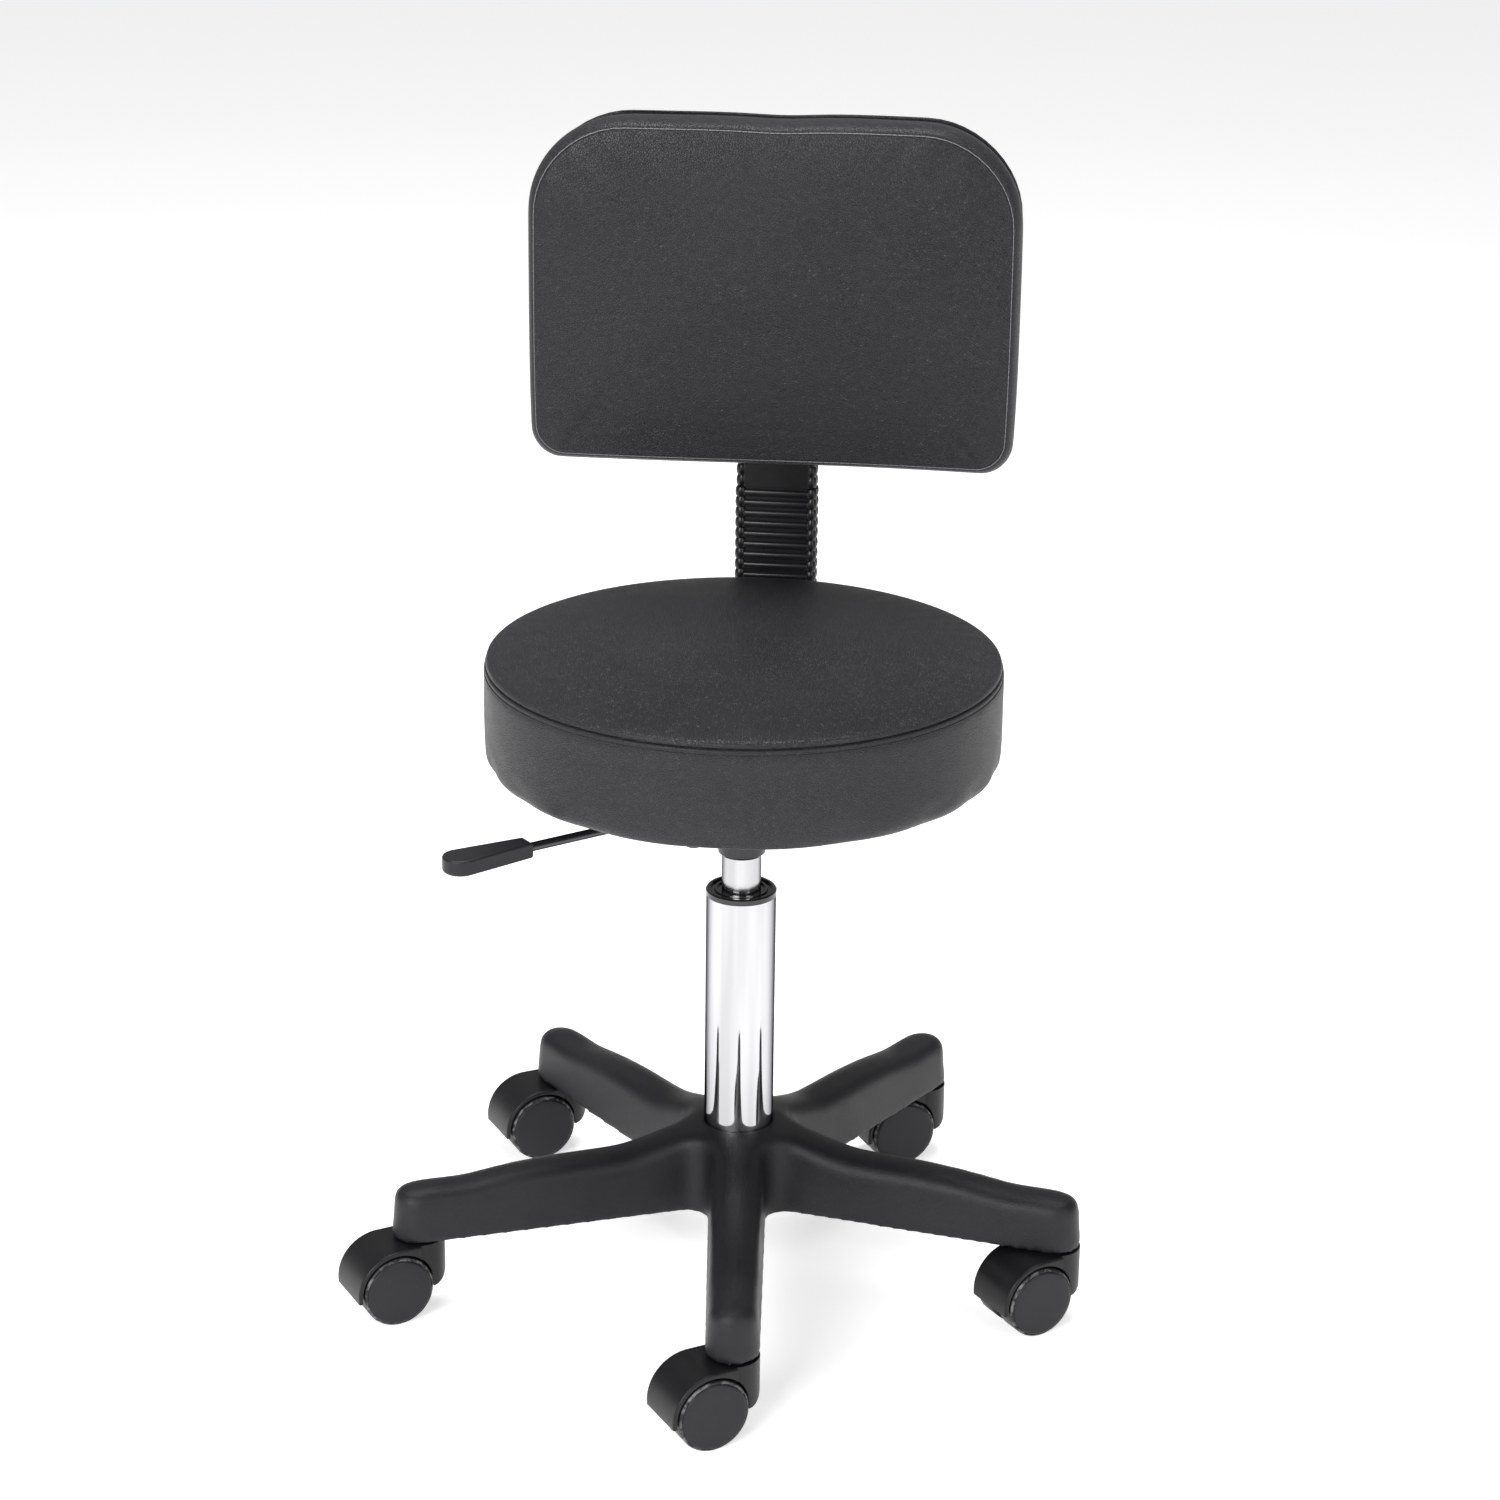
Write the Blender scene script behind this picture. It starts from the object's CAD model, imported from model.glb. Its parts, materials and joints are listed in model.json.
"""Adjustable swivel stool: the detailed visual model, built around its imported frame.

Laid out as an add-on: settings, one operator for each piece or group of pieces, one panel.
Metres, +Z up, the origin on the column's axis at floor level; the backrest is on the +Y side.
"""
import json
import math

import bmesh
import bpy
from mathutils import Matrix, Vector, noise


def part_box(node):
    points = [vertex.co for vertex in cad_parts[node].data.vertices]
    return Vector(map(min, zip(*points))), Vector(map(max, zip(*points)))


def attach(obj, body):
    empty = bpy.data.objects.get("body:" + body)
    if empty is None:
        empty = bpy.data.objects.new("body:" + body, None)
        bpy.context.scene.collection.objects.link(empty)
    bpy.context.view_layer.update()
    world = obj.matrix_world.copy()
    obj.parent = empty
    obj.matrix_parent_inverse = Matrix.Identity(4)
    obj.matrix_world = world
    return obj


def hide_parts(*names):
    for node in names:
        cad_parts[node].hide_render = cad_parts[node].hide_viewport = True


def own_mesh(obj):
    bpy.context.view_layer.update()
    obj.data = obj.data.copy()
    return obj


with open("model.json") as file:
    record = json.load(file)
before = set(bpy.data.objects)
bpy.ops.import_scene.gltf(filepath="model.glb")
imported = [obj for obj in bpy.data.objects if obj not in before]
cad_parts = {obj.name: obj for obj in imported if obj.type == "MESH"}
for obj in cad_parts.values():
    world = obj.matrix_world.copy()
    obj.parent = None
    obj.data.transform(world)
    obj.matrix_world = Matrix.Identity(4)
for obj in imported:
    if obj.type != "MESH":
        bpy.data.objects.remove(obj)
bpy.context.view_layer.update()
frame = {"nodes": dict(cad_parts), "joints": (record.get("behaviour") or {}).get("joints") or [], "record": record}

bl_info = {
    "name": "Swivel Stool",
    "version": (1, 0, 0),
    "blender": (4, 5, 0),
    "location": "View3D > Sidebar > Stool",
    "description": "Builds an adjustable swivel stool around its frame",
    "category": "Add Mesh",
}

MM = 0.001


# ------------------------------------------------------------------ sizes read from the frame
def middle(node):
    """Centre of a node's box at rest."""
    low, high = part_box(node)
    return (Vector(low) + Vector(high)) / 2


def joint(name):
    """The record's joint of that name."""
    return next(entry for entry in frame["joints"] if entry["name"] == name)


SEAT_LOW, SEAT_HIGH = (Vector(corner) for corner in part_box("seat_side_cover"))
CROWN_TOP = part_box("seat_top_cover")[1][2]
SEAT_RADIUS = (SEAT_HIGH.x - SEAT_LOW.x) / 2
BACK_LOW, BACK_HIGH = (Vector(corner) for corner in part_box("back_cover"))
BACK_MIDDLE = (BACK_LOW + BACK_HIGH) / 2
CASTER_COUNT = 5


# ------------------------------------------------------------------ settings
def colour_setting(name, description, default):
    """A colour property."""
    return bpy.props.FloatVectorProperty(
        name=name, description=description, default=default, size=3, min=0, max=1, subtype="COLOR"
    )


def length_setting(name, description, default):
    """A length property in metres."""
    return bpy.props.FloatProperty(
        name=name, description=description, default=default, min=0, unit="LENGTH"
    )


class StoolColours(bpy.types.PropertyGroup):
    """Colours of the stool's finishes."""

    vinyl: colour_setting("Vinyl", "Upholstery of the seat and the backrest", (0.013, 0.0125, 0.015))
    thread: colour_setting("Thread", "Stitching on the backrest's seam", (0.16, 0.16, 0.17))
    nylon: colour_setting("Nylon", "Moulded star base", (0.009, 0.009, 0.011))
    hood: colour_setting("Hood", "Caster hoods", (0.005, 0.005, 0.006))
    wheel: colour_setting("Wheel", "Caster wheels", (0.009, 0.009, 0.011))
    steel: colour_setting("Steel", "Gas cylinder and fasteners", (0.62, 0.62, 0.63))
    floor: colour_setting("Floor", "Studio floor", (0.90, 0.90, 0.90))


class StoolSizes(bpy.types.PropertyGroup):
    """Sizes of the details that a user would change."""

    stitch: length_setting("Stitch", "Length of one stitch", 3.4 * MM)
    thread_radius: length_setting("Thread radius", "Radius of the sewing thread", 0.35 * MM)


def colours():
    """The scene's colour settings."""
    return bpy.context.scene.stool_colours


def sizes():
    """The scene's size settings."""
    return bpy.context.scene.stool_sizes


# ------------------------------------------------------------------ material building blocks
class Shader:
    """A procedural material: a principled shader fed by nodes on object coordinates."""

    def __init__(self, name, colour, roughness, metallic=0.0, specular=0.5):
        self.material = bpy.data.materials.new(name)
        self.material.use_nodes = True
        self.tree = self.material.node_tree
        self.surface = self.tree.nodes["Principled BSDF"]
        self.set("Base Color", (*colour, 1))
        self.set("Roughness", roughness)
        self.set("Metallic", metallic)
        self.set("Specular IOR Level", specular)
        self.place = self.node("ShaderNodeTexCoord").outputs["Object"]
        self.height = None

    def set(self, socket, value):
        """Set an unlinked socket of the shader."""
        self.surface.inputs[socket].default_value = value

    def node(self, kind, **values):
        """Add a node; keyword values go to its properties."""
        made = self.tree.nodes.new(kind)
        for key, value in values.items():
            setattr(made, key, value)
        return made

    def link(self, source, target):
        """Join an output to an input."""
        self.tree.links.new(source, target)

    def noise(self, scale, detail=3.0, vector=None):
        """Noise value at a scale per metre."""
        made = self.node("ShaderNodeTexNoise")
        made.inputs["Scale"].default_value = scale
        made.inputs["Detail"].default_value = detail
        self.link(vector or self.place, made.inputs["Vector"])
        return made.outputs["Fac"]

    def cells(self, scale, feature="DISTANCE_TO_EDGE", vector=None):
        """Cell pattern at a scale per metre."""
        made = self.node("ShaderNodeTexVoronoi", feature=feature)
        made.inputs["Scale"].default_value = scale
        self.link(vector or self.place, made.inputs["Vector"])
        return made.outputs["Distance"]

    def remap(self, value, low, high, to_low=0.0, to_high=1.0):
        """Stretch a value from one range to another, clamped."""
        made = self.node("ShaderNodeMapRange")
        self.link(value, made.inputs["Value"])
        made.inputs["From Min"].default_value = low
        made.inputs["From Max"].default_value = high
        made.inputs["To Min"].default_value = to_low
        made.inputs["To Max"].default_value = to_high
        return made.outputs["Result"]

    def math(self, operation, first, second):
        """A math node on two sockets or numbers."""
        made = self.node("ShaderNodeMath", operation=operation)
        for index, value in enumerate((first, second)):
            if isinstance(value, (int, float)):
                made.inputs[index].default_value = value
            else:
                self.link(value, made.inputs[index])
        return made.outputs["Value"]

    def tint(self, factor, light, dark):
        """Base colour that runs from dark to light with a factor."""
        made = self.node("ShaderNodeMix", data_type="RGBA")
        self.link(factor, made.inputs["Factor"])
        made.inputs["A"].default_value = (*dark, 1)
        made.inputs["B"].default_value = (*light, 1)
        return made.outputs["Result"]

    def cover(self, mask, base, colour):
        """Base colour with another colour over it where a mask says so."""
        made = self.node("ShaderNodeMix", data_type="RGBA")
        self.link(mask, made.inputs["Factor"])
        self.link(base, made.inputs["A"])
        made.inputs["B"].default_value = (*colour, 1)
        return made.outputs["Result"]

    def paint(self, socket_value, socket="Base Color"):
        """Feed a socket of the shader."""
        self.link(socket_value, self.surface.inputs[socket])

    def bump(self, value, depth, strength=1.0):
        """Add a layer of relief of that depth in metres."""
        made = self.node("ShaderNodeBump")
        made.inputs["Distance"].default_value = depth
        made.inputs["Strength"].default_value = strength
        self.link(value, made.inputs["Height"])
        if self.height is not None:
            self.link(self.height, made.inputs["Normal"])
        self.height = made.outputs["Normal"]
        self.link(self.height, self.surface.inputs["Normal"])


def shade(colour, factor):
    """A colour made lighter or darker."""
    return tuple(min(1.0, channel * factor) for channel in colour)


def moulded(name, colour, roughness, grain, depth, specular=0.3, specks=0.0, scuffs=False):
    """Moulded plastic: pebble texture, uneven gloss, pale specks, scuffs by the mesh's wear attribute."""
    made = Shader(name, colour, roughness, specular=specular)
    pebble = made.noise(grain, detail=2.0)
    patch = made.noise(28, detail=4.0)
    base = made.tint(made.remap(patch, 0.35, 0.65), shade(colour, 1.12), shade(colour, 0.88))
    if specks:
        dust = made.remap(made.cells(900, "F1"), 0.0, 0.16, 1.0, 0.0)
        lone = made.remap(made.noise(160, detail=1.0), 0.60, 0.66)
        mask = made.math("MULTIPLY", made.math("MULTIPLY", dust, lone), specks)
        base = made.cover(mask, base, (0.20, 0.20, 0.21))
    if scuffs:
        wear = made.node("ShaderNodeAttribute", attribute_name="wear").outputs["Fac"]
        patches = made.remap(made.noise(240, detail=5.0), 0.46, 0.66)
        base = made.cover(made.math("MULTIPLY", patches, wear), base, (0.15, 0.15, 0.15))
    made.paint(base)
    made.paint(made.remap(patch, 0.3, 0.7, roughness * 0.9, roughness * 1.12), "Roughness")
    made.bump(pebble, depth)
    return made.material


def metal(name, colour, roughness, scratch=0.0, bump_depth=0.0):
    """Bare metal with faint smears in its gloss."""
    made = Shader(name, colour, roughness, metallic=1.0)
    smear = made.noise(45, detail=5.0)
    made.paint(made.remap(smear, 0.3, 0.7, roughness * 0.8, roughness * 1.3), "Roughness")
    made.paint(made.tint(made.remap(smear, 0.35, 0.65), colour, shade(colour, 0.93)))
    if bump_depth:
        made.bump(made.noise(scratch, detail=2.0), bump_depth)
    return made.material


def bright_tube(name, middle_colour, edge_colour, roughness):
    """Bright metal tube: upright streaks, and sides that reflect a darker room."""
    made = Shader(name, middle_colour, roughness, metallic=1.0)
    tall = made.node("ShaderNodeVectorMath", operation="MULTIPLY")
    made.link(made.place, tall.inputs[0])
    tall.inputs[1].default_value = (1.0, 1.0, 0.04)
    streaks = made.remap(made.noise(75, detail=2.0, vector=tall.outputs["Vector"]), 0.35, 0.65)
    middle_tone = made.tint(streaks, shade(middle_colour, 1.12), shade(middle_colour, 0.86))
    facing = made.node("ShaderNodeLayerWeight")
    facing.inputs["Blend"].default_value = 0.5
    made.paint(made.cover(made.remap(facing.outputs["Facing"], 0.45, 0.85), middle_tone, edge_colour))
    made.set("Specular Tint", (*edge_colour, 1))
    return made.material


def leather(name, colour):
    """Grained vinyl: small pebbles between fine creases, with broad soft mottling."""
    made = Shader(name, colour, 0.42, specular=0.34)
    warp = made.node("ShaderNodeVectorMath", operation="ADD")
    drift = made.node("ShaderNodeTexNoise")
    drift.inputs["Scale"].default_value = 260
    made.link(made.place, drift.inputs["Vector"])
    small = made.node("ShaderNodeVectorMath", operation="SCALE")
    small.inputs["Scale"].default_value = 0.0009
    made.link(drift.outputs["Color"], small.inputs[0])
    made.link(made.place, warp.inputs[0])
    made.link(small.outputs["Vector"], warp.inputs[1])
    pebbles = made.cells(620, vector=warp.outputs["Vector"])
    rounded = made.remap(pebbles, 0.0, 0.16)
    fine = made.noise(2600, detail=2.0)
    broad = made.noise(16, detail=4.0)
    made.paint(made.tint(made.remap(broad, 0.35, 0.65), shade(colour, 1.1), shade(colour, 0.9)))
    dull_spots = made.remap(broad, 0.3, 0.7, 0.38, 0.45)
    dull_creases = made.remap(pebbles, 0.0, 0.1, 0.06, 0.0)
    made.paint(made.math("ADD", dull_spots, dull_creases), "Roughness")
    made.bump(made.noise(70, detail=3.0), 0.00025, 0.5)
    made.bump(rounded, 0.00035, 0.8)
    made.bump(fine, 0.00005, 0.5)
    return made.material


def cloth(name, colour, scale):
    """Dull non-woven cloth."""
    made = Shader(name, colour, 0.9, specular=0.2)
    made.paint(made.tint(made.noise(scale, detail=5.0), shade(colour, 1.5), shade(colour, 0.6)))
    made.bump(made.noise(scale * 2), 0.0002)
    return made.material


def ply(name):
    """Pale plywood."""
    made = Shader(name, (0.55, 0.40, 0.24), 0.6)
    stretch = made.node("ShaderNodeMapping")
    stretch.inputs["Scale"].default_value = (1.0, 9.0, 60.0)
    made.link(made.place, stretch.inputs["Vector"])
    grain = made.noise(14, detail=6.0, vector=stretch.outputs["Vector"])
    made.paint(made.tint(grain, (0.62, 0.46, 0.28), (0.40, 0.27, 0.15)))
    made.bump(grain, 0.0001)
    return made.material


def twisted(name, colour):
    """Sewing thread."""
    made = Shader(name, colour, 0.6, specular=0.4)
    made.paint(made.tint(made.noise(1800), shade(colour, 1.3), shade(colour, 0.7)))
    made.bump(made.noise(4000), 0.00004)
    return made.material


MATERIALS = {}


def make_materials():
    """Every finish of the stool, by slot name."""
    tone = colours()
    MATERIALS.update(
        vinyl=leather("vinyl", tone.vinyl),
        base_nylon=moulded("base_nylon", tone.nylon, 0.42, 1500, 0.00030, specks=0.2),
        hood_plastic=moulded("hood_plastic", tone.hood, 0.40, 2200, 0.00004, specks=0.1),
        wheel_nylon=moulded("wheel_nylon", tone.wheel, 0.42, 2200, 0.00004, specks=0.6, scuffs=True),
        thread=twisted("thread", tone.thread),
        seat_thread=twisted("seat_thread", (0.012, 0.012, 0.013)),
        chrome=bright_tube("chrome", (0.50, 0.495, 0.51), (0.20, 0.20, 0.21), 0.06),
        gloss_black=moulded("gloss_black", (0.010, 0.010, 0.011), 0.12, 900, 0.00001, specular=0.6),
        cylinder_steel=bright_tube(
            "cylinder_steel", shade(tone.steel, 0.75), shade(tone.steel, 0.35), 0.22
        ),
        bearing_steel=metal("bearing_steel", shade(tone.steel, 0.9), 0.22),
        zinc_fastener=metal("zinc_fastener", shade(tone.steel, 0.85), 0.35, 700, 0.00002),
        black_steel=moulded("black_steel", (0.008, 0.008, 0.009), 0.36, 900, 0.00003, specular=0.5),
        lever_steel=moulded("lever_steel", (0.012, 0.012, 0.014), 0.16, 900, 0.00001, specular=0.7),
        rubber=moulded("rubber", (0.012, 0.012, 0.012), 0.7, 900, 0.00004),
        foam=cloth("foam", (0.70, 0.66, 0.52), 900),
        dust_cloth=cloth("dust_cloth", (0.008, 0.008, 0.009), 700),
        plywood=ply("plywood"),
        bellows_plastic=moulded("bellows_plastic", (0.006, 0.006, 0.007), 0.30, 1300, 0.00004),
        lever_plastic=moulded("lever_plastic", (0.010, 0.010, 0.012), 0.42, 1900, 0.00008, specks=0.1),
    )


# ------------------------------------------------------------------ modelling helpers
def deselect():
    """Nothing selected, no piece active in edit mode."""
    if bpy.context.object and bpy.context.object.mode != "OBJECT":
        bpy.ops.object.mode_set(mode="OBJECT")
    bpy.ops.object.select_all(action="DESELECT")


def only(piece):
    """Make one piece the selected and active one."""
    deselect()
    piece.select_set(True)
    bpy.context.view_layer.objects.active = piece


def started(name):
    """Name the primitive that was just added, and return it."""
    piece = bpy.context.object
    piece.name = name
    piece.data.name = name
    return piece


def edit(piece):
    """Enter edit mode on a piece with everything selected."""
    only(piece)
    bpy.ops.object.mode_set(mode="EDIT")
    bpy.ops.mesh.select_all(action="SELECT")


def leave_edit():
    """Back to object mode."""
    bpy.ops.object.mode_set(mode="OBJECT")


def pick(piece, kind, test):
    """In edit mode, select only the vertices, edges or faces that pass a test."""
    bpy.ops.mesh.select_all(action="DESELECT")
    mode = {"verts": "VERT", "edges": "EDGE", "faces": "FACE"}[kind]
    bpy.ops.mesh.select_mode(type=mode)
    mesh = bmesh.from_edit_mesh(piece.data)
    for element in getattr(mesh, kind):
        if test(element):
            element.select_set(True)
    mesh.select_flush_mode()
    bmesh.update_edit_mesh(piece.data)


def finish(piece, material, body, smooth_angle=math.radians(35)):
    """Normals outwards, smooth shading, finish, place in the mesh, and the body it rides on."""
    edit(piece)
    bpy.ops.mesh.normals_make_consistent(inside=False)
    leave_edit()
    bpy.ops.object.transform_apply(location=True, rotation=True, scale=True)
    bpy.ops.object.shade_smooth_by_angle(angle=smooth_angle)
    piece.data.materials.clear()
    piece.data.materials.append(MATERIALS[material])
    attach(piece, body)


def apply_modifiers(piece):
    """Apply every modifier of a piece, in order."""
    only(piece)
    for modifier in list(piece.modifiers):
        bpy.ops.object.modifier_apply(modifier=modifier.name)


def add_modifier(piece, kind, **values):
    """Add a modifier with its settings."""
    made = piece.modifiers.new(kind.title(), kind)
    for key, value in values.items():
        setattr(made, key, value)
    return made


# ------------------------------------------------------------------ stage
class STOOL_OT_stage(bpy.types.Operator):
    """Add the floor, the soft studio light and the camera"""

    bl_idname = "stool.stage"
    bl_label = "Stage"

    camera_azimuth = math.radians(6.3)
    camera_distance = 2.466
    camera_height = 1.313
    camera_pitch = 0.354
    camera_yaw = 0.002
    camera_roll = 0.013
    camera_lens = 90.07
    sensor_width = 36
    floor_radius = 16
    floor_glow = 0.55
    room_light = 0.3
    light_target = (0, 0, 0.45)
    lights = (
        # name, place, size, watts
        ("key", (-1.2, -2.8, 1.7), (1.7, 1.5), 95),
        ("fill", (2.4, -2.2, 1.4), (1.0, 1.8), 30),
        ("top", (-0.2, 0.5, 3.0), (1.8, 1.2), 70),
    )

    def execute(self, context):
        deselect()
        bpy.ops.mesh.primitive_circle_add(vertices=96, radius=self.floor_radius, fill_type="NGON")
        floor = started("floor")
        tone = colours().floor
        ground = Shader("floor", tone, 0.75, specular=0.2)
        ground.paint(ground.tint(ground.noise(3), shade(tone, 1.01), shade(tone, 0.99)))
        ground.set("Emission Color", (1, 1, 1, 1))
        ground.set("Emission Strength", self.floor_glow)
        floor.data.materials.append(ground.material)
        for name, place, size, watts in self.lights:
            bpy.ops.object.light_add(type="AREA", location=place)
            lamp = bpy.context.object
            lamp.name = name
            lamp.data.shape = "RECTANGLE"
            lamp.data.size, lamp.data.size_y = size
            lamp.data.energy = watts
            aim = Vector(self.light_target) - lamp.location
            lamp.rotation_euler = aim.to_track_quat("-Z", "Y").to_euler()
        world = bpy.data.worlds.new("studio")
        world.use_nodes = True
        background = world.node_tree.nodes["Background"]
        background.inputs["Color"].default_value = (1, 1, 1, 1)
        background.inputs["Strength"].default_value = self.room_light
        context.scene.world = world
        bpy.ops.object.camera_add()
        camera = bpy.context.object
        turn = Matrix.Rotation(self.camera_azimuth - self.camera_yaw, 4, "Z")
        tilt = Matrix.Rotation(math.pi / 2 - self.camera_pitch, 4, "X")
        roll = Matrix.Rotation(self.camera_roll, 4, "Z")
        place = Vector((
            self.camera_distance * math.sin(self.camera_azimuth),
            -self.camera_distance * math.cos(self.camera_azimuth),
            self.camera_height,
        ))
        camera.matrix_world = Matrix.Translation(place) @ turn @ tilt @ roll
        camera.data.lens = self.camera_lens
        camera.data.sensor_width = self.sensor_width
        context.scene.camera = camera
        context.scene.view_settings.view_transform = "Standard"
        return {"FINISHED"}


class STOOL_OT_finishes(bpy.types.Operator):
    """Give every carried-over piece of the frame its finish"""

    bl_idname = "stool.finishes"
    bl_label = "Finishes"

    def execute(self, context):
        make_materials()
        for part in frame["record"]["subparts"]:
            node = frame["nodes"][part["node"]]
            node.data.materials.clear()
            node.data.materials.append(MATERIALS[part["material_slot"]])
        return {"FINISHED"}


# ------------------------------------------------------------------ rings and copies
def ring_started(name, outline):
    """A loop of edges through the outline's points, left in edit mode with the whole loop selected."""
    bpy.ops.mesh.primitive_circle_add(vertices=len(outline), radius=1, fill_type="NOTHING")
    piece = started(name)
    for vertex, place in zip(piece.data.vertices, outline):
        vertex.co = place
    edit(piece)
    return piece


def extrude_loop(steps, axis, centre=(0, 0, 0)):
    """Extrude the selected loop through (scales, travel) steps, both relative to the loop it starts as."""
    last_scales, last_travel = (1, 1, 1), 0.0
    for scales, travel in steps:
        move = [part * (travel - last_travel) for part in axis]
        bpy.ops.mesh.extrude_edges_move(TRANSFORM_OT_translate={"value": move})
        ratios = [scale / last for scale, last in zip(scales, last_scales)]
        bpy.ops.transform.resize(value=ratios, center_override=centre)
        last_scales, last_travel = scales, travel


def turned(name, profile, segments):
    """Piece of revolution about Z from (radius, height) points; a radius of 0 closes an end."""
    rings = [point for point in profile if point[0] > 0]
    first_radius, first_height = rings[0]
    closed_start = profile[0][0] == 0
    bpy.ops.mesh.primitive_circle_add(
        vertices=segments, radius=first_radius, fill_type="TRIFAN" if closed_start else "NOTHING"
    )
    piece = started(name)
    edit(piece)
    if closed_start:
        bpy.ops.mesh.region_to_loop()
    steps = []
    for radius, height in rings[1:]:
        scale = radius / first_radius
        steps.append(((scale, scale, 1), height - first_height))
    extrude_loop(steps, (0, 0, 1))
    if profile[-1][0] == 0:
        bpy.ops.mesh.edge_face_add()
    bpy.ops.mesh.select_all(action="SELECT")
    bpy.ops.transform.translate(value=(0, 0, first_height))
    leave_edit()
    if profile[0] == profile[-1]:
        weld(piece)
    return piece


def weld(piece):
    """Merge doubled points."""
    edit(piece)
    bpy.ops.mesh.remove_doubles(threshold=0.02 * MM)
    leave_edit()


def reshape(piece, move):
    """Move every point of a piece's mesh by a function of its place."""
    for vertex in piece.data.vertices:
        vertex.co = move(vertex.co)


def copies(name, template, places):
    """One piece from many placed copies of a template's mesh; the template goes."""
    joined = bmesh.new()
    for place in places:
        before = len(joined.verts)
        joined.from_mesh(template.data)
        joined.verts.ensure_lookup_table()
        bmesh.ops.transform(joined, matrix=place, verts=joined.verts[before:])
    mesh = bpy.data.meshes.new(name)
    joined.to_mesh(mesh)
    joined.free()
    piece = bpy.data.objects.new(name, mesh)
    bpy.context.collection.objects.link(piece)
    bpy.data.objects.remove(template)
    return piece


def inflate(piece, pinned, cap, pressure=4.0, frames=20):
    """Swell a cushion with a short cloth simulation, keeping the pinned points still."""
    rest = [vertex.co.copy() for vertex in piece.data.vertices]
    group = piece.vertex_groups.new(name="pinned")
    group.add([vertex.index for vertex in piece.data.vertices if pinned(vertex.co)], 1.0, "REPLACE")
    cloth = add_modifier(piece, "CLOTH")
    settings = cloth.settings
    settings.quality = 6
    settings.mass = 0.25
    settings.tension_stiffness = 14
    settings.compression_stiffness = 14
    settings.shear_stiffness = 8
    settings.bending_stiffness = 2.0
    settings.use_pressure = True
    settings.uniform_pressure_force = pressure
    settings.vertex_group_mass = "pinned"
    settings.effector_weights.gravity = 0
    cloth.collision_settings.use_collision = False
    scene = bpy.context.scene
    for number in range(1, frames + 1):
        scene.frame_set(number)
    apply_modifiers(piece)
    scene.frame_set(1)
    most = max((vertex.co - start).length for vertex, start in zip(piece.data.vertices, rest))
    keep = min(1.0, cap / most)
    for vertex, start in zip(piece.data.vertices, rest):
        vertex.co = start + (vertex.co - start) * keep
    piece.vertex_groups.clear()


def stitch_template():
    """One stitch along X: a short capsule of thread."""
    length = sizes().stitch
    radius = sizes().thread_radius
    bpy.ops.mesh.primitive_cylinder_add(
        vertices=6, radius=radius, depth=length, rotation=(0, math.pi / 2, 0)
    )
    piece = started("stitch")
    bpy.ops.object.transform_apply(location=True, rotation=True, scale=True)
    edit(piece)
    pick(piece, "faces", lambda face: abs(face.normal.x) > 0.9)
    bpy.ops.mesh.inset(thickness=radius * 0.45, depth=radius * 0.45)
    leave_edit()
    return piece


def stitch_line(name, points, facing, material, body, pitch):
    """A run of separate stitches along a closed line of points."""
    line = [Vector(point) for point in points]
    spans = [(line[(index + 1) % len(line)] - point).length for index, point in enumerate(line)]
    count = round(sum(spans) / pitch)
    step = sum(spans) / count
    places = []
    travelled, index = 0.0, 0
    for number in range(count):
        target = number * step
        while travelled + spans[index] < target:
            travelled += spans[index]
            index += 1
        start, end = line[index], line[(index + 1) % len(line)]
        along = (end - start).normalized()
        out = facing(start)
        side = out.cross(along).normalized()
        up = along.cross(side)
        turn = Matrix((along, side, up)).transposed().to_4x4()
        places.append(Matrix.Translation(start + along * (target - travelled)) @ turn)
    piece = copies(name, stitch_template(), places)
    finish(piece, material, body)


# ------------------------------------------------------------------ seat
SEAT_SEGMENTS = 200
SEAM_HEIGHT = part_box("seat_side_cover")[1][2]
BOARD_LOW, BOARD_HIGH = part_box("seat_board")
BOARD_RADIUS = (BOARD_HIGH[0] - BOARD_LOW[0]) / 2
LONG_PITCH = 4.6 * MM
SHORT_PITCH = 3.9 * MM


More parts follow.
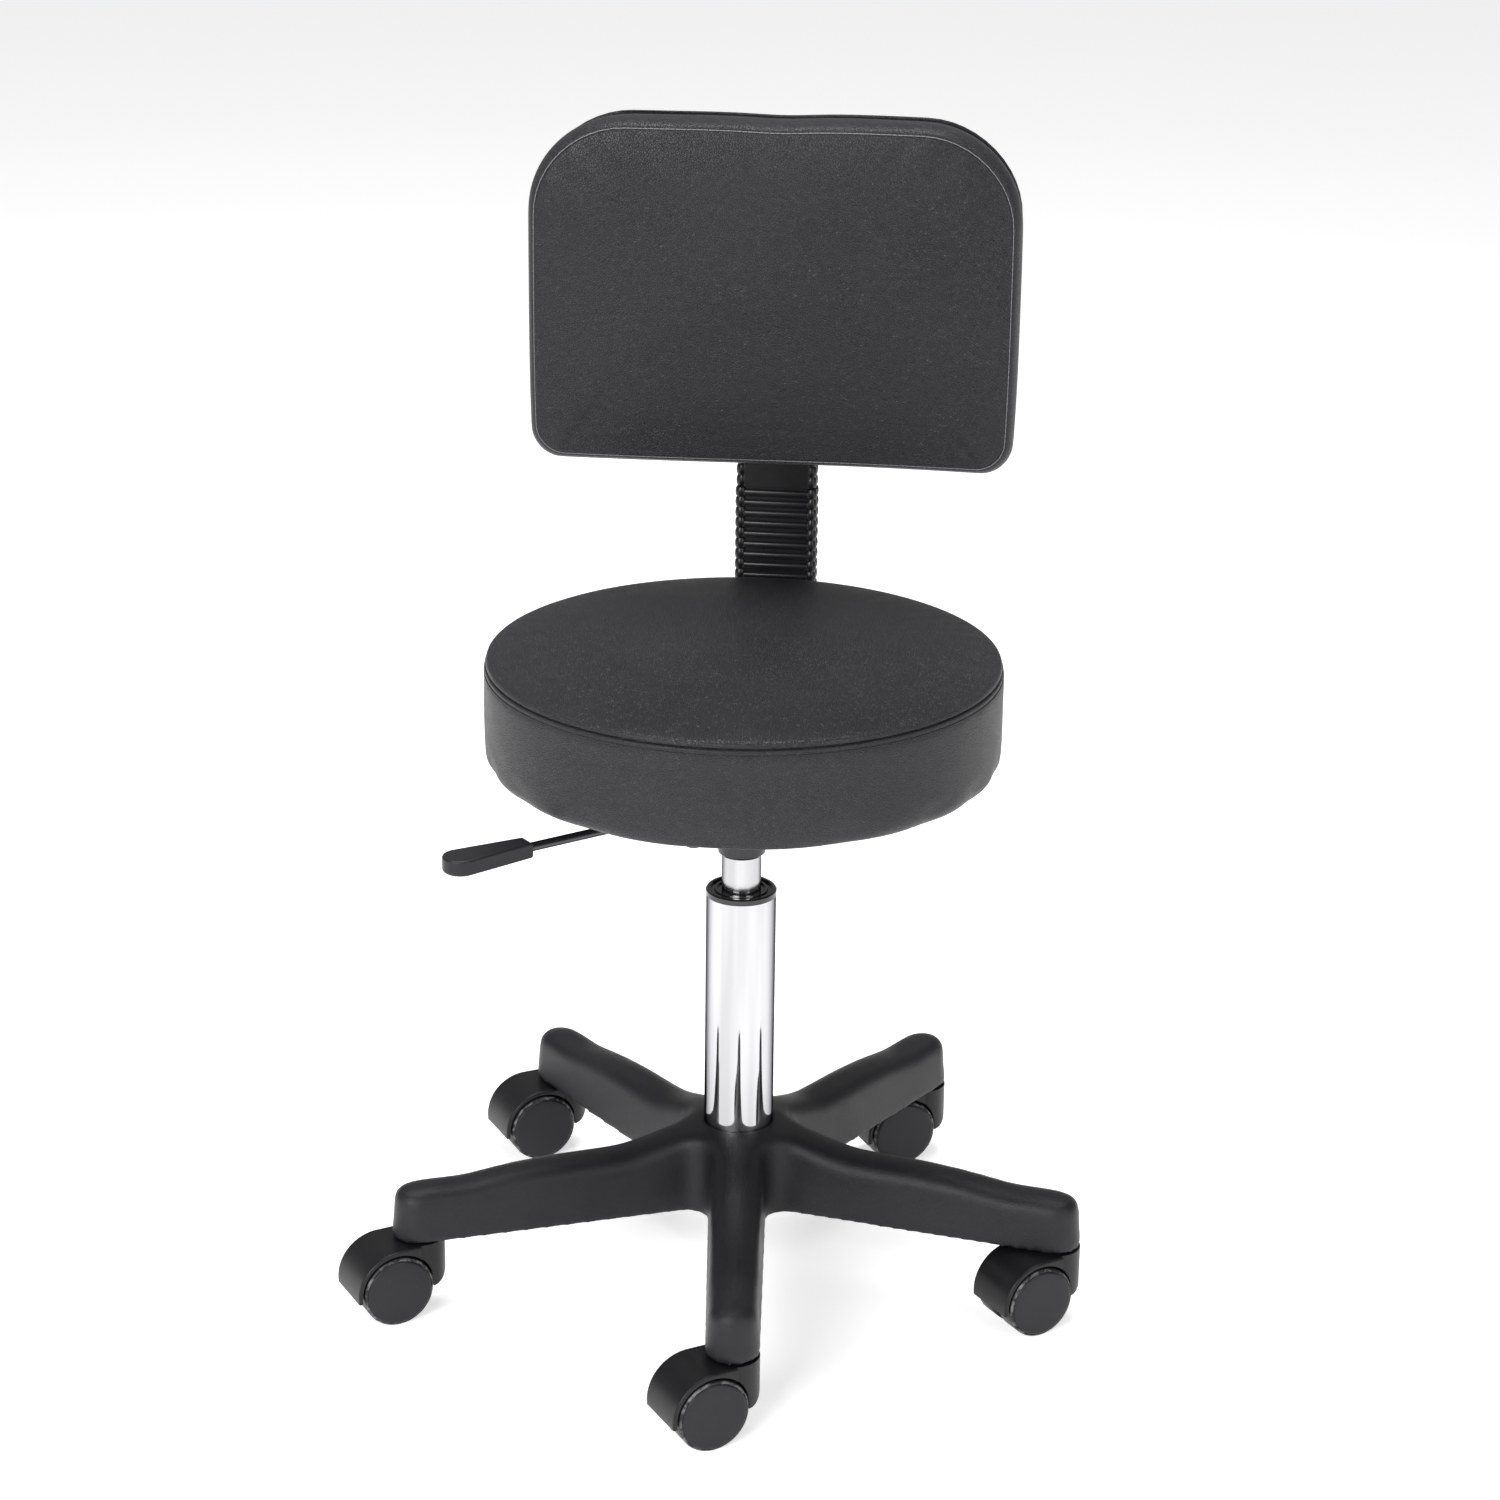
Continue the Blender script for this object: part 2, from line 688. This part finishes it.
class STOOL_OT_seat(bpy.types.Operator):
    """Build the seat cushion: crown panel, band, the seam between them and the cover's wrapped edge"""

    bl_idname = "stool.seat"
    bl_label = "Seat cushion"

    crown_rise = 8.0 * MM
    swell = 4.5 * MM
    topstitch_drop = 4.6 * MM
    topstitch_points = 360

    def profile(self):
        """(radius, height) of the rings from the crown's flat middle down round the band to the board."""
        edge = SEAT_RADIUS
        seam = SEAM_HEIGHT
        low = SEAT_LOW.z
        under = BOARD_LOW[2]
        rise = self.crown_rise
        points = []
        for share in (0.80, 0.845, 0.88, 0.91, 0.935, 0.955, 0.97, 0.982, 0.990):
            height = seam + 1.2 * MM + rise * math.sqrt(max(0.0, 1 - share ** 9))
            points.append((edge * share, height))
        points += [
            (edge - 1.3 * MM, seam + 1.1 * MM),
            (edge - 1.2 * MM, seam + 0.5 * MM),
            (edge - 2.6 * MM, seam - 0.1 * MM),
            (edge - 2.6 * MM, seam - 0.5 * MM),
            (edge - 0.9 * MM, seam - 0.9 * MM),
            (edge - 0.35 * MM, seam - 1.6 * MM),
            (edge - 0.3 * MM, seam - self.topstitch_drop + 1.4 * MM),
            (edge - 0.75 * MM, seam - self.topstitch_drop),
            (edge - 0.3 * MM, seam - self.topstitch_drop - 1.4 * MM),
            (edge + 0.1 * MM, seam - self.topstitch_drop - 4.0 * MM),
        ]
        top, bottom = seam - 14 * MM, low + 14 * MM
        for number in range(10):
            height = top + (bottom - top) * number / 9
            points.append((edge, height))
        roll = 13 * MM
        for number in range(1, 7):
            turn = math.radians(15 * number)
            points.append((edge - roll + roll * math.cos(turn), low + roll - roll * math.sin(turn)))
        points += [
            (edge - 18 * MM, low + 0.3 * MM),
            (edge - 23 * MM, under - 1.3 * MM),
            (BOARD_RADIUS - 17 * MM, under - 1.1 * MM),
            (BOARD_RADIUS - 18 * MM, under - 0.1 * MM),
            (BOARD_RADIUS, under - 0.1 * MM),
            (BOARD_RADIUS + 0.3 * MM, BOARD_HIGH[2] + 0.3 * MM),
        ]
        return points

    def wrinkle(self, place):
        """Shallow puckers below the seam, an uneven lower edge, and slow waves over crown and band."""
        angle = math.atan2(place.y, place.x)
        flat = Vector((place.x, place.y, 0))
        out = flat.normalized() if flat.length > 0 else Vector((0, 0, 0))
        share = flat.length / SEAT_RADIUS
        moved = place.copy()
        if share > 0.97 and place.z < SEAM_HEIGHT - 6 * MM:
            drop = (SEAM_HEIGHT - place.z) / (SEAM_HEIGHT - SEAT_LOW.z)
            crease = math.exp(-((drop - 0.27 - 0.05 * math.sin(2 * angle + 1.0)) / 0.035) ** 2)
            strength = max(0.0, math.sin(3 * angle + 0.6)) * 0.45 * MM
            moved -= out * crease * strength
            wave = noise.noise(Vector((angle * 2.2, drop * 2.0, 4.0))) * 0.6 * MM
            fine = noise.noise(Vector((angle * 9.0, drop * 4.0, 9.0))) * 0.25 * MM
            moved += out * (wave + fine)
        if place.z < SEAT_LOW.z + 16 * MM and share > 0.86:
            tucks = abs(math.sin(9 * angle + 1.7 * math.sin(2 * angle))) ** 3
            moved -= out * tucks * 1.4 * MM
        if place.z > SEAM_HEIGHT + 1.5 * MM:
            wave = noise.noise(Vector((place.x * 14, place.y * 14, 2.0)))
            moved.z += wave * 0.55 * MM * (1 - share ** 8)
        return moved

    def execute(self, context):
        profile = self.profile()
        piece = turned("seat_cushion", profile, SEAT_SEGMENTS)
        edit(piece)
        pick(piece, "edges", lambda edge: edge.is_boundary and edge.verts[0].co.z > SEAM_HEIGHT)
        bpy.ops.mesh.fill_grid(span=SEAT_SEGMENTS // 4)
        pick(piece, "edges", lambda edge: edge.is_boundary)
        bpy.ops.mesh.fill_grid(span=SEAT_SEGMENTS // 4)
        bpy.ops.mesh.select_all(action="SELECT")
        bpy.ops.mesh.normals_make_consistent(inside=False)
        leave_edit()
        seam = SEAM_HEIGHT

        def pinned(place):
            reach = math.hypot(place.x, place.y)
            at_seam = abs(place.z - seam) < 7 * MM and reach > SEAT_RADIUS - 4 * MM
            return at_seam or (reach < SEAT_RADIUS - 12 * MM and place.z < seam - 10 * MM)

        inflate(piece, pinned, self.swell)
        reshape(piece, self.wrinkle)
        add_modifier(piece, "SUBSURF", levels=1, render_levels=1)
        apply_modifiers(piece)
        finish(piece, "vinyl", "seat_unit", math.radians(80))
        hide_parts("seat_foam", "seat_top_cover", "seat_side_cover")
        height = seam - self.topstitch_drop
        reach = SEAT_RADIUS - 0.35 * MM
        count = self.topstitch_points
        turns = [2 * math.pi * number / count for number in range(count)]
        line = [(reach * math.cos(turn), reach * math.sin(turn), height) for turn in turns]
        stitch_line(
            "seat_topstitch", line, lambda place: Vector((place.x, place.y, 0)).normalized(),
            "seat_thread", "seat_unit", LONG_PITCH,
        )
        return {"FINISHED"}


# ------------------------------------------------------------------ backrest
BACK_SIDE_CUTS = 34
BACK_FLANK_CUTS = 22
BACK_CORNER_STEPS = 12
BACK_UPPER_CORNER = 70 * MM
BACK_LOWER_CORNER = 26 * MM


def back_outline(inset):
    """Points of the backrest's outline at a depth of 0, inset all round, with larger upper corners."""
    half = BACK_HIGH.x - inset
    low = BACK_LOW.z + inset
    high = BACK_HIGH.z - inset
    upper = BACK_UPPER_CORNER - inset
    lower = BACK_LOWER_CORNER - inset
    corners = (
        ((half - upper, high - upper), upper, 0),
        ((-half + upper, high - upper), upper, 90),
        ((-half + lower, low + lower), lower, 180),
        ((half - lower, low + lower), lower, 270),
    )
    points = []
    for number, ((x, z), radius, start) in enumerate(corners):
        for step in range(BACK_CORNER_STEPS + 1):
            turn = math.radians(start + 90 * step / BACK_CORNER_STEPS)
            points.append(Vector((x + radius * math.cos(turn), 0, z + radius * math.sin(turn))))
        (next_x, next_z), next_radius, next_start = corners[(number + 1) % 4]
        turn = math.radians(next_start)
        begin = points[-1]
        end = Vector((next_x + next_radius * math.cos(turn), 0, next_z + next_radius * math.sin(turn)))
        cuts = BACK_SIDE_CUTS if number % 2 == 0 else BACK_FLANK_CUTS
        points += [begin.lerp(end, cut / cuts) for cut in range(1, cuts)]
    return points


def back_shape(place):
    """Small departures of the sewn outline from its pattern: a dip in the top, fuller flanks."""
    across = place.x / BACK_HIGH.x
    up = (place.z - BACK_MIDDLE.z) / (BACK_HIGH.z - BACK_MIDDLE.z)
    moved = place.copy()
    if up > 0:
        dip = 1.6 * MM * math.exp(-((across - 0.02) / 0.16) ** 2)
        moved.z -= up ** 3 * (dip + 2.0 * MM * across ** 4)
    moved.x -= across * 2.4 * MM * abs(up) ** 3
    moved.z += 0.8 * MM * math.sin(3.1 * across + 0.4) * abs(up) ** 3
    return moved


class STOOL_OT_backrest(bpy.types.Operator):
    """Build the backrest cushion: crowned front panel, full boxing, both seams and their stitches"""

    bl_idname = "stool.backrest"
    bl_label = "Backrest cushion"

    seam_inset = 5.0 * MM
    swell = 6.0 * MM
    front_setback = 5.0 * MM
    boxing = (
        # (outwards from the seam, behind the seam), mm
        (0.8, 0.6), (2.1, 2.2), (3.5, 5.0), (4.6, 9.5), (5.0, 14.5), (4.7, 20), (4.0, 26), (3.1, 32),
    )
    rear_edge = (
        # (outwards from the seam, before the rear plane), mm
        (2.2, 7), (1.3, 3), (0.3, 1.2), (-1.2, 0.9), (-2.4, 0.4), (-6.0, 0.2),
    )
    front_panel = (
        # (outwards from the seam, behind the seam), mm
        (-1.0, 0.1), (-1.2, -0.9), (-2.2, -1.8), (-4.5, -2.7), (-8.0, -3.4), (-12.5, -3.9),
        (-18.0, -4.2), (-24.5, -4.4),
    )
    folds = (
        # centre, half width, level and bow, in half sizes of the panel
        (0.0, 0.42, -0.86, 0.10), (0.05, 0.36, -0.76, 0.08), (0.62, 0.20, 0.52, -0.12),
    )
    fold_depth = 0.55 * MM

    def crease(self, place):
        """Faint wrinkles on the front panel, fading out towards the seam."""
        front = BACK_LOW.y
        if place.y > front + 8 * MM:
            return place
        across = place.x / BACK_HIGH.x
        up = (place.z - BACK_MIDDLE.z) / (BACK_HIGH.z - BACK_MIDDLE.z)
        inside = max(0.0, 1 - max(abs(across), abs(up)) ** 6)
        wave = noise.noise(Vector((place.x * 16, 3.0, place.z * 16))) * 0.7 * MM
        arcs = 0.0
        for centre, width, level, bow in self.folds:
            reach = (across - centre) / width
            line = level - bow * reach * reach
            arcs += math.exp(-((up - line) / 0.022) ** 2) * max(0.0, 1 - reach * reach)
        moved = place.copy()
        moved.y += (wave + arcs * self.fold_depth) * inside
        return moved

    def execute(self, context):
        front = BACK_LOW.y + self.front_setback
        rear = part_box("back_rear_panel")[0][1]
        centre = Vector((0, 0, BACK_MIDDLE.z))
        seam = back_outline(self.seam_inset)
        half_width = BACK_HIGH.x - self.seam_inset
        half_height = (BACK_HIGH.z - BACK_LOW.z) / 2 - self.seam_inset
        piece = ring_started("backrest_cushion", [point + Vector((0, front, 0)) for point in seam])

        def steps(table):
            """Steps of the outline, grown evenly in width and height, from a table in mm."""
            return [
                ((1 + out * MM / half_width, 1, 1 + out * MM / half_height), depth * MM)
                for out, depth in table
            ]

        length = (rear - front) / MM
        sides = self.boxing + tuple((out, length - before) for out, before in self.rear_edge)
        extrude_loop(steps(sides), (0, 1, 0), centre)
        bpy.ops.mesh.fill_grid(span=BACK_SIDE_CUTS)
        pick(piece, "edges", lambda edge: edge.is_boundary and edge.verts[0].co.y < front + MM)
        extrude_loop(steps(self.front_panel), (0, 1, 0), centre)
        bpy.ops.mesh.fill_grid(span=BACK_SIDE_CUTS)
        bpy.ops.mesh.select_all(action="SELECT")
        bpy.ops.mesh.normals_make_consistent(inside=False)
        leave_edit()

        def pinned(place):
            near_front = front - 1.2 * MM < place.y < front + 0.8 * MM
            return near_front or place.y > rear - 4 * MM

        inflate(piece, pinned, self.swell)
        reshape(piece, self.crease)
        reshape(piece, back_shape)
        add_modifier(piece, "SUBSURF", levels=1, render_levels=1)
        apply_modifiers(piece)
        finish(piece, "vinyl", "backrest", math.radians(80))
        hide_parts("back_foam", "back_cover")

        def line(inset, depth):
            """The backrest's reshaped outline at a depth."""
            return [back_shape(point + Vector((0, depth, 0))) for point in back_outline(inset)]

        stitch_line(
            "backrest_seam_stitches", line(self.seam_inset + 0.9 * MM, front - 0.55 * MM),
            lambda place: Vector((0, -1, 0)), "thread", "backrest", SHORT_PITCH,
        )
        stitch_line(
            "backrest_rear_stitches", line(3.6 * MM, rear - 4.2 * MM),
            lambda place: Vector((place.x, 0, place.z - BACK_MIDDLE.z)).normalized(),
            "seat_thread", "backrest", LONG_PITCH,
        )
        return {"FINISHED"}


# ------------------------------------------------------------------ sleeve on the back post
RIB_SHAPE = (
    # share of the rib's height, share of its depth
    (0.0, 1.0), (0.10, 1.0), (0.20, 0.25), (0.30, 0.0), (0.62, 0.0), (0.74, 0.35), (0.84, 1.0),
)


def sleeve_core(name, low, high, width, depth, centre_y, ribs, rib_depth):
    """Rounded box tube along the post; ribs is the number of ridges round it, 0 for a plain wall."""
    corner = 2.2 * MM
    half_x, half_y = width / 2, depth / 2
    outline = []
    for x, y, start in ((1, 1, 0), (-1, 1, 90), (-1, -1, 180), (1, -1, 270)):
        for step in range(5):
            turn = math.radians(start + 22.5 * step)
            across = x * (half_x - corner) + corner * math.cos(turn)
            along = y * (half_y - corner) + corner * math.sin(turn)
            outline.append(Vector((across, along, 0)))
    piece = ring_started(name, outline)
    bpy.ops.mesh.edge_face_add()
    bpy.ops.mesh.select_mode(type="EDGE")
    bpy.ops.mesh.select_all(action="SELECT")
    height = high - low
    pitch = height / max(ribs, 1)
    table = []
    for rib in range(ribs):
        table += [((rib + place) * pitch, deep * rib_depth) for place, deep in RIB_SHAPE]
    table.append((height, rib_depth if ribs else 0.0))
    extrude_loop([((1 - deep / half_x, 1 - deep / half_y, 1), level) for level, deep in table], (0, 0, 1))
    bpy.ops.mesh.edge_face_add()
    bpy.ops.mesh.select_all(action="SELECT")
    bpy.ops.transform.translate(value=(0, centre_y, low))
    leave_edit()
    return piece


def scalloped_edges(name, low, high, reach, depth, centre_y, pitch):
    """Four knobbly corner beads of the sleeve, as one mesh."""
    count = max(1, round((high - low) / pitch))
    step = (high - low) / count
    radius = 4.3 * MM
    profile = [(0, 0)]
    for bead in range(count):
        for share, size in ((0.03, 0.76), (0.18, 0.93), (0.5, 1.0), (0.82, 0.93)):
            profile.append((radius * size, (bead + share) * step))
    profile += [(radius * 0.76, high - low - 0.02 * step), (0, high - low)]
    bead_piece = turned(name + "_bead", profile, 14)
    places = [
        Matrix.Translation((x * (reach - radius), centre_y + y * (depth / 2 - radius), low))
        for x in (-1, 1) for y in (-1, 1)
    ]
    return copies(name, bead_piece, places)


def join(name, pieces):
    """Join pieces into one mesh under a new name."""
    deselect()
    for piece in pieces:
        piece.select_set(True)
    bpy.context.view_layer.objects.active = pieces[0]
    bpy.ops.object.join()
    pieces[0].name = name
    pieces[0].data.name = name
    return pieces[0]


class STOOL_OT_sleeve(bpy.types.Operator):
    """Build the ribbed sleeve that folds along the back post, and the collar above it"""

    bl_idname = "stool.sleeve"
    bl_label = "Post sleeve"

    rib_pitch = 8.0 * MM
    rib_depth = 1.5 * MM
    front_width = 50 * MM
    least_width = 60 * MM
    folded_share = 0.615

    def execute(self, context):
        for name, node, body, ribbed in (
            ("post_sleeve", "post_bellows", "seat_unit", True),
            ("post_collar", "bellows_collar", "backrest", False),
        ):
            low, high = (Vector(corner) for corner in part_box(node))
            centre_y = (low.y + high.y) / 2
            depth = high.y - low.y
            wide = max(high.x - low.x, self.least_width)
            ribs = round((high.z - low.z) / self.rib_pitch) if ribbed else 0
            core_depth = depth - (0.6 * MM if ribbed else 1.0 * MM)
            core = sleeve_core(
                name + "_core", low.z, high.z, self.front_width, core_depth, centre_y, ribs, self.rib_depth
            )
            edges = scalloped_edges(name, low.z, high.z, wide / 2, depth, centre_y, self.rib_pitch)
            piece = join(name, [core, edges])
            finish(piece, "bellows_plastic", body, math.radians(40))
            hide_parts(node)
            if ribbed:
                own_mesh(piece)
        return {"FINISHED"}


# ------------------------------------------------------------------ backrest's rear panel
class STOOL_OT_rear_panel(bpy.types.Operator):
    """Build the covered panel that closes the backrest's rear, with a rolled edge"""

    bl_idname = "stool.rear_panel"
    bl_label = "Rear panel"

    inset = 1.6 * MM
    edge_roll = 1.2 * MM

    def execute(self, context):
        near, far = (corner[1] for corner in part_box("back_rear_panel"))
        outline = [point + Vector((0, near, 0)) for point in back_outline(self.inset)]
        piece = ring_started("backrest_rear_panel", outline)
        bpy.ops.mesh.fill_grid(span=BACK_SIDE_CUTS)
        bpy.ops.mesh.select_all(action="SELECT")
        bpy.ops.mesh.extrude_region_move(TRANSFORM_OT_translate={"value": (0, far - near, 0)})
        pick(piece, "edges", lambda edge: edge.calc_face_angle(0) > 1)
        bpy.ops.mesh.bevel(offset=self.edge_roll, segments=4, profile=0.5)
        leave_edit()
        reshape(piece, back_shape)
        finish(piece, "vinyl", "backrest", math.radians(50))
        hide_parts("back_rear_panel")
        return {"FINISHED"}


# ------------------------------------------------------------------ star base
class STOOL_OT_star_base(bpy.types.Operator):
    """Round the star base's arms over, level their long slope and soften the hub's valleys"""

    bl_idname = "stool.star_base"
    bl_label = "Star base"

    voxel = 2.0 * MM
    crown = 5.5 * MM
    slope_drop = 3.0 * MM
    half_width = 17 * MM
    foot = 7.5 * MM
    rise_start = 0.35
    kept_faces = 0.6
    smoothings = (
        # vertex group, least height above the foot (0 for everything), rounds of smoothing
        ("away", 0, 7), ("upper", 10 * MM, 14),
    )

    def execute(self, context):
        low, high = (Vector(corner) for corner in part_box("star_base"))
        tube = (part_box("outer_tube")[1][0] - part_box("outer_tube")[0][0]) / 2
        hubs = [
            Vector(joint(f"caster_swivel_{number}")["pos_m"]) for number in range(1, CASTER_COUNT + 1)
        ]
        headings = [hub.xy.normalized() for hub in hubs]
        reach = hubs[0].xy.length
        piece = frame["nodes"]["star_base"].copy()
        piece.data = frame["nodes"]["star_base"].data.copy()
        for key in list(piece.keys()):
            del piece[key]
        piece.parent = None
        context.collection.objects.link(piece)
        piece.name = "star_base_moulding"
        piece.data.name = piece.name
        weld(piece)
        add_modifier(piece, "REMESH", mode="VOXEL", voxel_size=self.voxel)
        apply_modifiers(piece)
        under = low.z + self.foot
        tall = high.z - under

        def soften(place):
            """Lower the arms' shoulders so that their tops are crowned, and their slope is even."""
            flat = place.xy
            distance = flat.length
            rise = max(0.0, (place.z - under) / tall - self.rise_start) / (1 - self.rise_start)
            moved = place.copy()
            if distance < tube + 2.0 * MM:
                moved.xy = flat.normalized() * (tube + 0.1 * MM)
                return moved
            along = max(headings, key=lambda heading: heading.dot(flat))
            aside = abs(along.cross(flat))
            share = min(1.0, aside / self.half_width)
            onset = min(1.0, max(0.0, (distance - 40 * MM) / (45 * MM)))
            outwards = min(1.0, max(0.0, (distance - 50 * MM) / (reach - 30 * MM)))
            middle_arm = math.sin(math.pi * outwards) ** 0.5
            moved.z -= rise * onset * (self.crown * share ** 2 + self.slope_drop * middle_arm)
            return moved

        reshape(piece, soften)
        for name, height, iterations in self.smoothings:
            above = under + height if height else low.z - MM
            chosen = [
                vertex.index for vertex in piece.data.vertices
                if vertex.co.z > above and vertex.co.xy.length > tube + 4 * MM
            ]
            piece.vertex_groups.new(name=name).add(chosen, 1.0, "REPLACE")
            add_modifier(piece, "SMOOTH", factor=0.5, iterations=iterations, vertex_group=name)
        add_modifier(piece, "DECIMATE", ratio=self.kept_faces)
        apply_modifiers(piece)
        piece.vertex_groups.clear()
        finish(piece, "base_nylon", "base", math.radians(50))
        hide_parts("star_base")
        return {"FINISHED"}


# ------------------------------------------------------------------ caster wheels
class STOOL_OT_wheels(bpy.types.Operator):
    """Build the ten caster wheels: tread, worn shoulder and slightly domed face"""

    bl_idname = "stool.wheels"
    bl_label = "Caster wheels"

    def wheel(self, radius, width):
        """One wheel about Z, outer face up, its inner face at height 0."""
        profile = [
            (3.2 * MM, 0), (radius * 0.42, 0), (radius * 0.42, 2.4 * MM), (radius - 3.2 * MM, 2.4 * MM),
            (radius - 3.0 * MM, 0), (radius - 0.5 * MM, 0), (radius, 0.6 * MM),
            (radius, width - 2.9 * MM), (radius - 0.2 * MM, width - 2.3 * MM),
            (radius - 0.9 * MM, width - 1.5 * MM),
            (radius - 1.5 * MM, width - 1.3 * MM), (radius - 1.7 * MM, width - 1.7 * MM),
            (radius - 2.0 * MM, width - 1.6 * MM), (radius - 2.2 * MM, width - 0.8 * MM),
            (radius - 2.8 * MM, width - 0.35 * MM), (radius - 4.0 * MM, width - 0.12 * MM),
            (radius * 0.6, width - 0.03 * MM), (radius * 0.25, width), (radius * 0.03, width), (0, width),
        ]
        return turned("wheel", profile, 64)

    def execute(self, context):
        low, high = (Vector(corner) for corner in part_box("wheel_left_1"))
        radius = (high.z - low.z) / 2
        pattern = None
        for number in range(1, CASTER_COUNT + 1):
            for side in ("left", "right"):
                node = f"wheel_{side}_{number}"
                axle = Vector(joint(f"wheel_roll_{side}_{number}")["pos_m"])
                away = middle(node) - axle
                outward = Vector((away.x, away.y, 0)).normalized()
                spread = [(vertex.co - axle).dot(outward) for vertex in frame["nodes"][node].data.vertices]
                near, far = min(spread), max(spread)
                if pattern is None:
                    pattern = self.wheel(radius, far - near)
                    self.mark_wear(pattern, radius, far - near)
                piece = pattern.copy()
                piece.data = pattern.data.copy()
                context.collection.objects.link(piece)
                piece.name = f"caster_wheel_{side}_{number}"
                piece.data.name = piece.name
                turn = outward.to_track_quat("Z", "Y").to_matrix().to_4x4()
                piece.matrix_world = Matrix.Translation(axle + outward * near) @ turn
                finish(piece, "wheel_nylon", f"caster_{number}_{side}", math.radians(40))
                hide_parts(node)
        bpy.data.objects.remove(pattern)
        return {"FINISHED"}

    def mark_wear(self, piece, radius, width):
        """Mark the shoulder, where the tread's edge is scuffed pale."""
        wear = piece.data.attributes.new("wear", "FLOAT", "POINT")
        for vertex in piece.data.vertices:
            reach = math.hypot(vertex.co.x, vertex.co.y)
            rim = radius - 2.0 * MM < reach < radius - 0.1 * MM and vertex.co.z > width - 3.1 * MM
            wear.data[vertex.index].value = 1.0 if rim else 0.0


OPERATORS = (
    STOOL_OT_stage,
    STOOL_OT_finishes,
    STOOL_OT_seat,
    STOOL_OT_backrest,
    STOOL_OT_rear_panel,
    STOOL_OT_sleeve,
    STOOL_OT_star_base,
    STOOL_OT_wheels,
)


class STOOL_PT_panel(bpy.types.Panel):
    """Buttons and settings of the stool"""

    bl_label = "Swivel stool"
    bl_idname = "STOOL_PT_panel"
    bl_space_type = "VIEW_3D"
    bl_region_type = "UI"
    bl_category = "Stool"

    def draw(self, context):
        for group in (context.scene.stool_colours, context.scene.stool_sizes):
            for key in group.__annotations__:
                self.layout.prop(group, key)
        for operator in OPERATORS:
            self.layout.operator(operator.bl_idname)


CLASSES = (StoolColours, StoolSizes, *OPERATORS, STOOL_PT_panel)


def register():
    for item in CLASSES:
        bpy.utils.register_class(item)
    bpy.types.Scene.stool_colours = bpy.props.PointerProperty(type=StoolColours)
    bpy.types.Scene.stool_sizes = bpy.props.PointerProperty(type=StoolSizes)


def unregister():
    del bpy.types.Scene.stool_colours
    del bpy.types.Scene.stool_sizes
    for item in reversed(CLASSES):
        bpy.utils.unregister_class(item)


def main():
    """Register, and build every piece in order."""
    register()
    bpy.context.preferences.edit.use_global_undo = False
    for operator in OPERATORS:
        module, name = operator.bl_idname.split(".")
        getattr(getattr(bpy.ops, module), name)()


if __name__ == "__main__":
    main()
